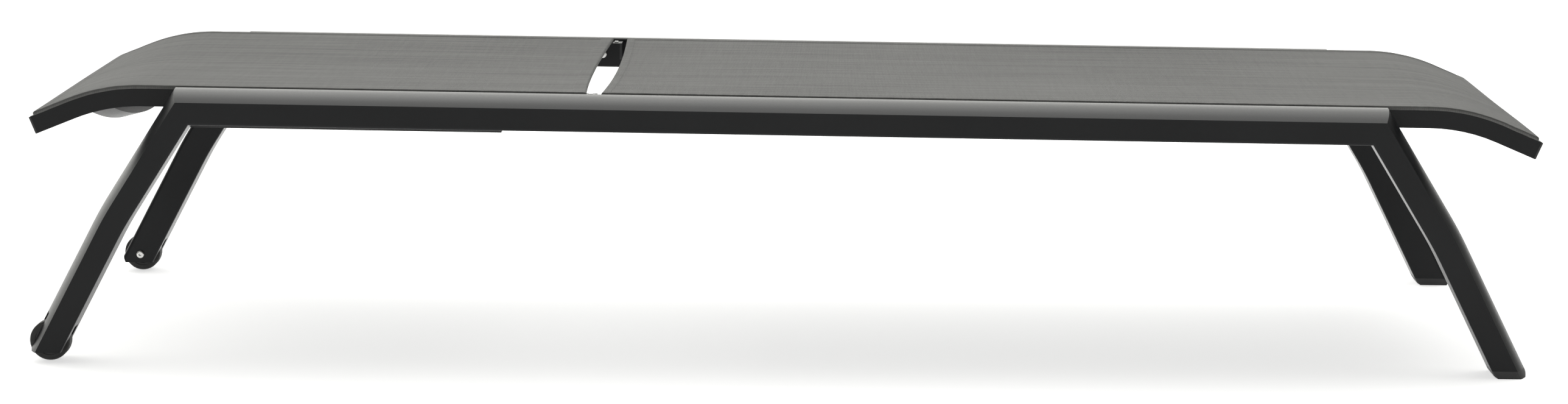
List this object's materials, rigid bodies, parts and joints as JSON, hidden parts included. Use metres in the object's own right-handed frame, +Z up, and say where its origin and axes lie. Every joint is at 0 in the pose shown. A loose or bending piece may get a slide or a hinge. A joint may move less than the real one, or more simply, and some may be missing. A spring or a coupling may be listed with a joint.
{
  "type": "reclining sun lounger",
  "caption": "Low reclining sun lounger with stretched sling panels, splayed tube legs, small wheels at the head end and a ratchet backrest.",
  "frame": {"origin": "middle of the footprint, on the floor that the wheels and feet stand on", "axes": "+Z up, +X along the bed towards the foot end, +Y across the bed, with the mirror plane at Y = 0"},
  "size_m": [2.0002, 0.7, 0.3629],
  "materials": {
    "powder_coat": "powder coated, satin anthracite",
    "sling_fabric": "woven mesh",
    "black_plastic": "matt",
    "stop_rubber": "matt",
    "tyre_rubber": "matt",
    "stainless": "brushed"
  },
  "bodies": {
    "root": {"axle_bolts": "stainless", "far_foot_glide": "black_plastic", "far_foot_leg": "powder_coat", "far_head_leg": "powder_coat", "far_rack": "black_plastic", "far_seat_keder": "sling_fabric", "far_seat_rail": "powder_coat", "far_side_rail": "powder_coat", "far_wheel_housing": "black_plastic", "foot_end_bar": "powder_coat", "hinge_bolts": "stainless", "hinge_washers": "black_plastic", "near_foot_glide": "black_plastic", "near_foot_leg": "powder_coat", "near_head_leg": "powder_coat", "near_rack": "black_plastic", "near_seat_keder": "sling_fabric", "near_seat_rail": "powder_coat", "near_side_rail": "powder_coat", "near_wheel_housing": "black_plastic", "rack_screws": "stainless", "seat_bolts": "stainless", "seat_rail_caps": "black_plastic", "seat_sling": "sling_fabric", "seat_spacers": "black_plastic", "seat_stretcher_foot": "powder_coat", "seat_stretcher_hinge": "powder_coat", "seat_stretcher_middle": "powder_coat", "stop_pads": "stop_rubber", "stop_tube": "powder_coat"},
    "backrest": {"near_back_rail": "powder_coat", "far_back_rail": "powder_coat", "near_back_keder": "sling_fabric", "far_back_keder": "sling_fabric", "back_sling": "sling_fabric", "sling_screws": "stainless", "head_end_bar": "powder_coat", "back_stretcher_head": "powder_coat", "back_stretcher_hinge": "powder_coat", "back_rail_caps": "black_plastic", "hinge_bushes": "black_plastic", "prop_pivot_bolts": "stainless", "prop_washers": "black_plastic"},
    "prop": {"near_prop_arm": "powder_coat", "far_prop_arm": "powder_coat", "prop_foot_rod": "powder_coat", "prop_foot_tips": "black_plastic", "prop_brace": "powder_coat"},
    "near_wheel": {"near_tyre": "tyre_rubber", "near_wheel_hub": "black_plastic"},
    "far_wheel": {"far_tyre": "tyre_rubber", "far_wheel_hub": "black_plastic"}
  },
  "joints": [
    {"name": "backrest_recline", "type": "hinge", "parent": "root", "child": "backrest", "pos_m": [-0.27581, 0, 0.33998], "axis": [0, 1, 0], "range_deg": [0, 70]},
    {"name": "prop_swing", "type": "hinge", "parent": "backrest", "child": "prop", "pos_m": [-0.51577, 0, 0.34511], "axis": [0, 1, 0], "range_deg": [-136.5, 0]},
    {"name": "near_wheel_spin", "type": "hinge", "parent": "root", "child": "near_wheel", "pos_m": [-0.97127, -0.32, 0.0266], "axis": [0, 1, 0], "continuous": true},
    {"name": "far_wheel_spin", "type": "hinge", "parent": "root", "child": "far_wheel", "pos_m": [-0.97127, 0.32, 0.0266], "axis": [0, 1, 0], "continuous": true}
  ],
  "couplings": [
    {"joint": "prop_swing", "follows": "backrest_recline", "ratio": -1.946}
  ]
}
